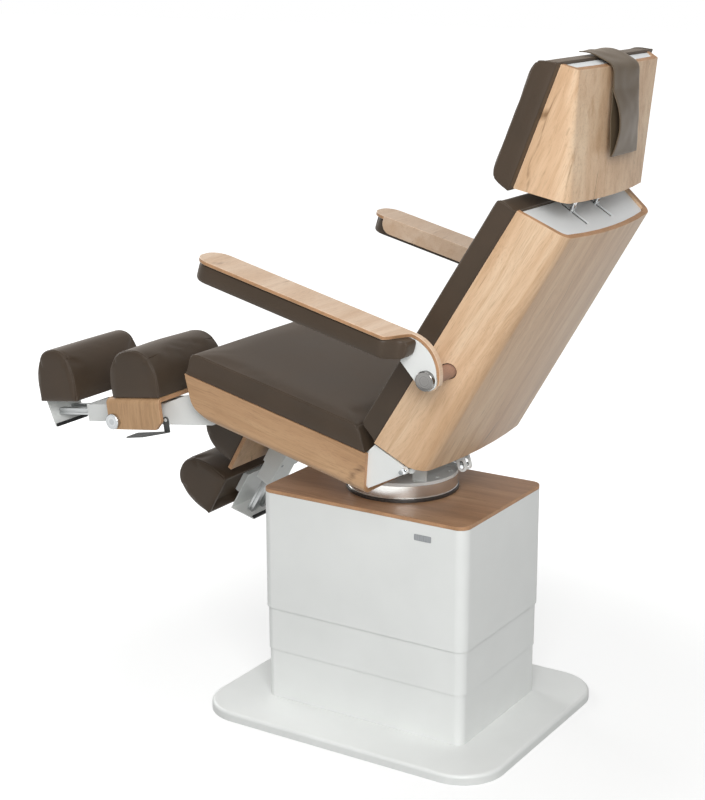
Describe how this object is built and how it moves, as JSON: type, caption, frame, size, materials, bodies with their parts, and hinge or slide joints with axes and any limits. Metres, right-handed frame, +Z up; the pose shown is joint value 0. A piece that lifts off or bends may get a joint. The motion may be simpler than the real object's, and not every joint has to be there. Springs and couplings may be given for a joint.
{
  "type": "podiatry chair",
  "caption": "Powered podiatry chair on a telescopic column: swivel, tilting seat, reclining back, sliding headrest, fold-up armrests and swinging, extending leg rests.",
  "frame": {"origin": "centre of the base plate's flat underside, on the floor", "axes": "+Z up, -Y the way the sitter faces, +X the sitter's left"},
  "size_m": [0.9, 1.5692, 1.7257],
  "materials": {
    "base_plate": "white powder coat",
    "lower_shroud": "white powder coat",
    "lift_outer_tube": "zinc-grey coat",
    "lift_motor": "dark grey coat",
    "middle_shroud": "white powder coat",
    "lift_middle_tube": "zinc-grey coat",
    "lift_middle_spindle": "polished",
    "upper_shroud": "white powder coat",
    "top_board": "light oak face, satin lacquer",
    "lift_inner_tube": "zinc-grey coat",
    "lift_rod": "polished",
    "swivel_base": "dark anodised look",
    "swivel_ring": "turned or drawn, satin",
    "turntable_plate": "white powder coat",
    "seat_shell": "light oak face, satin lacquer",
    "seat_frame": "white powder coat",
    "seat_end_plate": "white powder coat",
    "seat_cushion": "taupe-brown artificial leather, fine grain",
    "hinge_pins": "polished",
    "recline_motor": "dark grey coat",
    "recline_rod": "polished",
    "back_shell": "light oak face, satin lacquer",
    "back_cap": "light grey, fine texture",
    "back_cushion": "taupe-brown artificial leather, fine grain",
    "back_frame": "white powder coat",
    "arm_axles": "light oak face, satin lacquer",
    "head_carriage": "dark grey coat",
    "head_rods": "polished",
    "head_shell": "light oak face, satin lacquer",
    "head_cap": "light grey, fine texture",
    "head_cushion": "taupe-brown artificial leather, fine grain",
    "head_strap": "satin artificial leather band",
    "arm_shell_left": "light oak face, satin lacquer",
    "arm_pad_left": "taupe-brown artificial leather, fine grain",
    "arm_bracket_left": "white powder coat",
    "arm_cap_left": "polished",
    "leg_arm_left": "white powder coat",
    "calf_shell_left": "light oak face, satin lacquer",
    "calf_roll_left": "taupe-brown artificial leather, fine grain",
    "slide_box_left": "white powder coat",
    "slide_rails_left": "turned or drawn, satin",
    "foot_plate_left": "white powder coat",
    "grip_strip_left": "black, matt",
    "foot_roll_left": "taupe-brown artificial leather, fine grain",
    "leg_knob_left": "polished",
    "leg_lever_left": "dark grey coat",
    "arm_shell_right": "light oak face, satin lacquer",
    "arm_pad_right": "taupe-brown artificial leather, fine grain",
    "arm_bracket_right": "white powder coat",
    "arm_cap_right": "polished",
    "leg_arm_right": "white powder coat",
    "calf_shell_right": "light oak face, satin lacquer",
    "calf_roll_right": "taupe-brown artificial leather, fine grain",
    "slide_box_right": "white powder coat",
    "slide_rails_right": "turned or drawn, satin",
    "foot_plate_right": "white powder coat",
    "grip_strip_right": "black, matt",
    "foot_roll_right": "taupe-brown artificial leather, fine grain",
    "leg_knob_right": "polished",
    "leg_lever_right": "dark grey coat"
  },
  "bodies": {
    "base": {"base_plate": "base_plate", "lower_shroud": "lower_shroud", "lift_outer_tube": "lift_outer_tube", "lift_motor": "lift_motor"},
    "middle_stage": {"middle_shroud": "middle_shroud", "lift_middle_tube": "lift_middle_tube", "lift_middle_spindle": "lift_middle_spindle"},
    "upper_stage": {"upper_shroud": "upper_shroud", "top_board": "top_board", "lift_inner_tube": "lift_inner_tube", "lift_rod": "lift_rod", "swivel_base": "swivel_base"},
    "turntable": {"swivel_ring": "swivel_ring", "turntable_plate": "turntable_plate"},
    "seat": {"seat_shell": "seat_shell", "seat_frame": "seat_frame", "seat_end_plate": "seat_end_plate", "seat_cushion": "seat_cushion", "hinge_pins": "hinge_pins", "recline_motor": "recline_motor"},
    "recline_rod": {"recline_rod": "recline_rod"},
    "backrest": {"back_shell": "back_shell", "back_cap": "back_cap", "back_cushion": "back_cushion", "back_frame": "back_frame", "arm_axles": "arm_axles"},
    "head_carriage": {"head_carriage": "head_carriage"},
    "headrest": {"head_rods": "head_rods", "head_shell": "head_shell", "head_cap": "head_cap", "head_cushion": "head_cushion", "head_strap": "head_strap"},
    "armrest_left": {"arm_shell_left": "arm_shell_left", "arm_pad_left": "arm_pad_left", "arm_bracket_left": "arm_bracket_left", "arm_cap_left": "arm_cap_left"},
    "leg_left": {"leg_arm_left": "leg_arm_left", "calf_shell_left": "calf_shell_left", "calf_roll_left": "calf_roll_left"},
    "slide_left": {"slide_box_left": "slide_box_left", "slide_rails_left": "slide_rails_left", "foot_plate_left": "foot_plate_left", "grip_strip_left": "grip_strip_left", "foot_roll_left": "foot_roll_left"},
    "knob_left": {"leg_knob_left": "leg_knob_left"},
    "lever_left": {"leg_lever_left": "leg_lever_left"},
    "armrest_right": {"arm_shell_right": "arm_shell_right", "arm_pad_right": "arm_pad_right", "arm_bracket_right": "arm_bracket_right", "arm_cap_right": "arm_cap_right"},
    "leg_right": {"leg_arm_right": "leg_arm_right", "calf_shell_right": "calf_shell_right", "calf_roll_right": "calf_roll_right"},
    "slide_right": {"slide_box_right": "slide_box_right", "slide_rails_right": "slide_rails_right", "foot_plate_right": "foot_plate_right", "grip_strip_right": "grip_strip_right", "foot_roll_right": "foot_roll_right"},
    "knob_right": {"leg_knob_right": "leg_knob_right"},
    "lever_right": {"leg_lever_right": "leg_lever_right"}
  },
  "joints": [
    {"name": "lift_upper", "type": "slide", "parent": "base", "child": "upper_stage", "axis": [0, 0, 1], "range_m": [-0.25, 0.12]},
    {"name": "lift_middle", "type": "slide", "parent": "base", "child": "middle_stage", "axis": [0, 0, 1], "range_m": [-0.125, 0.06]},
    {"name": "swivel", "type": "hinge", "parent": "upper_stage", "child": "turntable", "pos_m": [0, 0, 0.625], "axis": [0, 0, 1], "range_deg": [-120, 120]},
    {"name": "seat_tilt", "type": "hinge", "parent": "turntable", "child": "seat", "pos_m": [0, 0.095, 0.7], "axis": [1, 0, 0], "range_deg": [-12, 13]},
    {"name": "recline", "type": "hinge", "parent": "seat", "child": "backrest", "pos_m": [0, 0.165, 0.743], "axis": [1, 0, 0], "range_deg": [-60, 0]},
    {"name": "recline_rod_slide", "type": "slide", "parent": "seat", "child": "recline_rod", "axis": [0, 0.9744, -0.225], "range_m": [-0.0585, 0.0001]},
    {"name": "head_tilt", "type": "hinge", "parent": "backrest", "child": "head_carriage", "pos_m": [0, 0.39664, 1.14068], "axis": [1, 0, 0], "range_deg": [-9.5, 4]},
    {"name": "head_height", "type": "slide", "parent": "head_carriage", "child": "headrest", "axis": [0, 0.3665, 0.9304], "range_m": [0, 0.115]},
    {"name": "armrest_left_fold", "type": "hinge", "parent": "backrest", "child": "armrest_left", "pos_m": [0.36, 0.27914, 1.00303], "axis": [1, 0, 0], "range_deg": [-105, 0]},
    {"name": "leg_left_swing", "type": "hinge", "parent": "seat", "child": "leg_left", "pos_m": [0.188, -0.40711, 0.84994], "axis": [1, 0, 0], "range_deg": [-20.7, 57.7]},
    {"name": "leg_left_slide", "type": "slide", "parent": "leg_left", "child": "slide_left", "axis": [0, -0.991, -0.134], "range_m": [-0.092, 0.04]},
    {"name": "leg_left_knob", "type": "hinge", "parent": "leg_left", "child": "knob_left", "pos_m": [0.303, -0.7093, 0.74147], "axis": [1, 0, 0], "range_deg": [0, 180]},
    {"name": "leg_left_lever", "type": "hinge", "parent": "leg_left", "child": "lever_left", "pos_m": [0.24, -0.58125, 0.7497], "axis": [1, 0, 0], "range_deg": [-10, 0], "stiffness_Nm_per_rad": 4, "springref_deg": 5.73},
    {"name": "armrest_right_fold", "type": "hinge", "parent": "backrest", "child": "armrest_right", "pos_m": [-0.36, 0.27914, 1.00303], "axis": [1, 0, 0], "range_deg": [-105, 0]},
    {"name": "leg_right_swing", "type": "hinge", "parent": "seat", "child": "leg_right", "pos_m": [-0.188, -0.40711, 0.84994], "axis": [1, 0, 0], "range_deg": [-73.4, 5]},
    {"name": "leg_right_slide", "type": "slide", "parent": "leg_right", "child": "slide_right", "axis": [0, -0.4939, -0.8695], "range_m": [-0.02, 0.112]},
    {"name": "leg_right_knob", "type": "hinge", "parent": "leg_right", "child": "knob_right", "pos_m": [-0.303, -0.50395, 0.54382], "axis": [1, 0, 0], "range_deg": [-180, 0]},
    {"name": "leg_right_lever", "type": "hinge", "parent": "leg_right", "child": "lever_right", "pos_m": [-0.24, -0.4329, 0.65067], "axis": [1, 0, 0], "range_deg": [-10, 0], "stiffness_Nm_per_rad": 4, "springref_deg": 5.73}
  ],
  "couplings": [
    {"joint": "lift_middle", "follows": "lift_upper", "ratio": 0.5},
    {"joint": "recline_rod_slide", "follows": "recline", "m_per_rad": 0.0551}
  ]
}
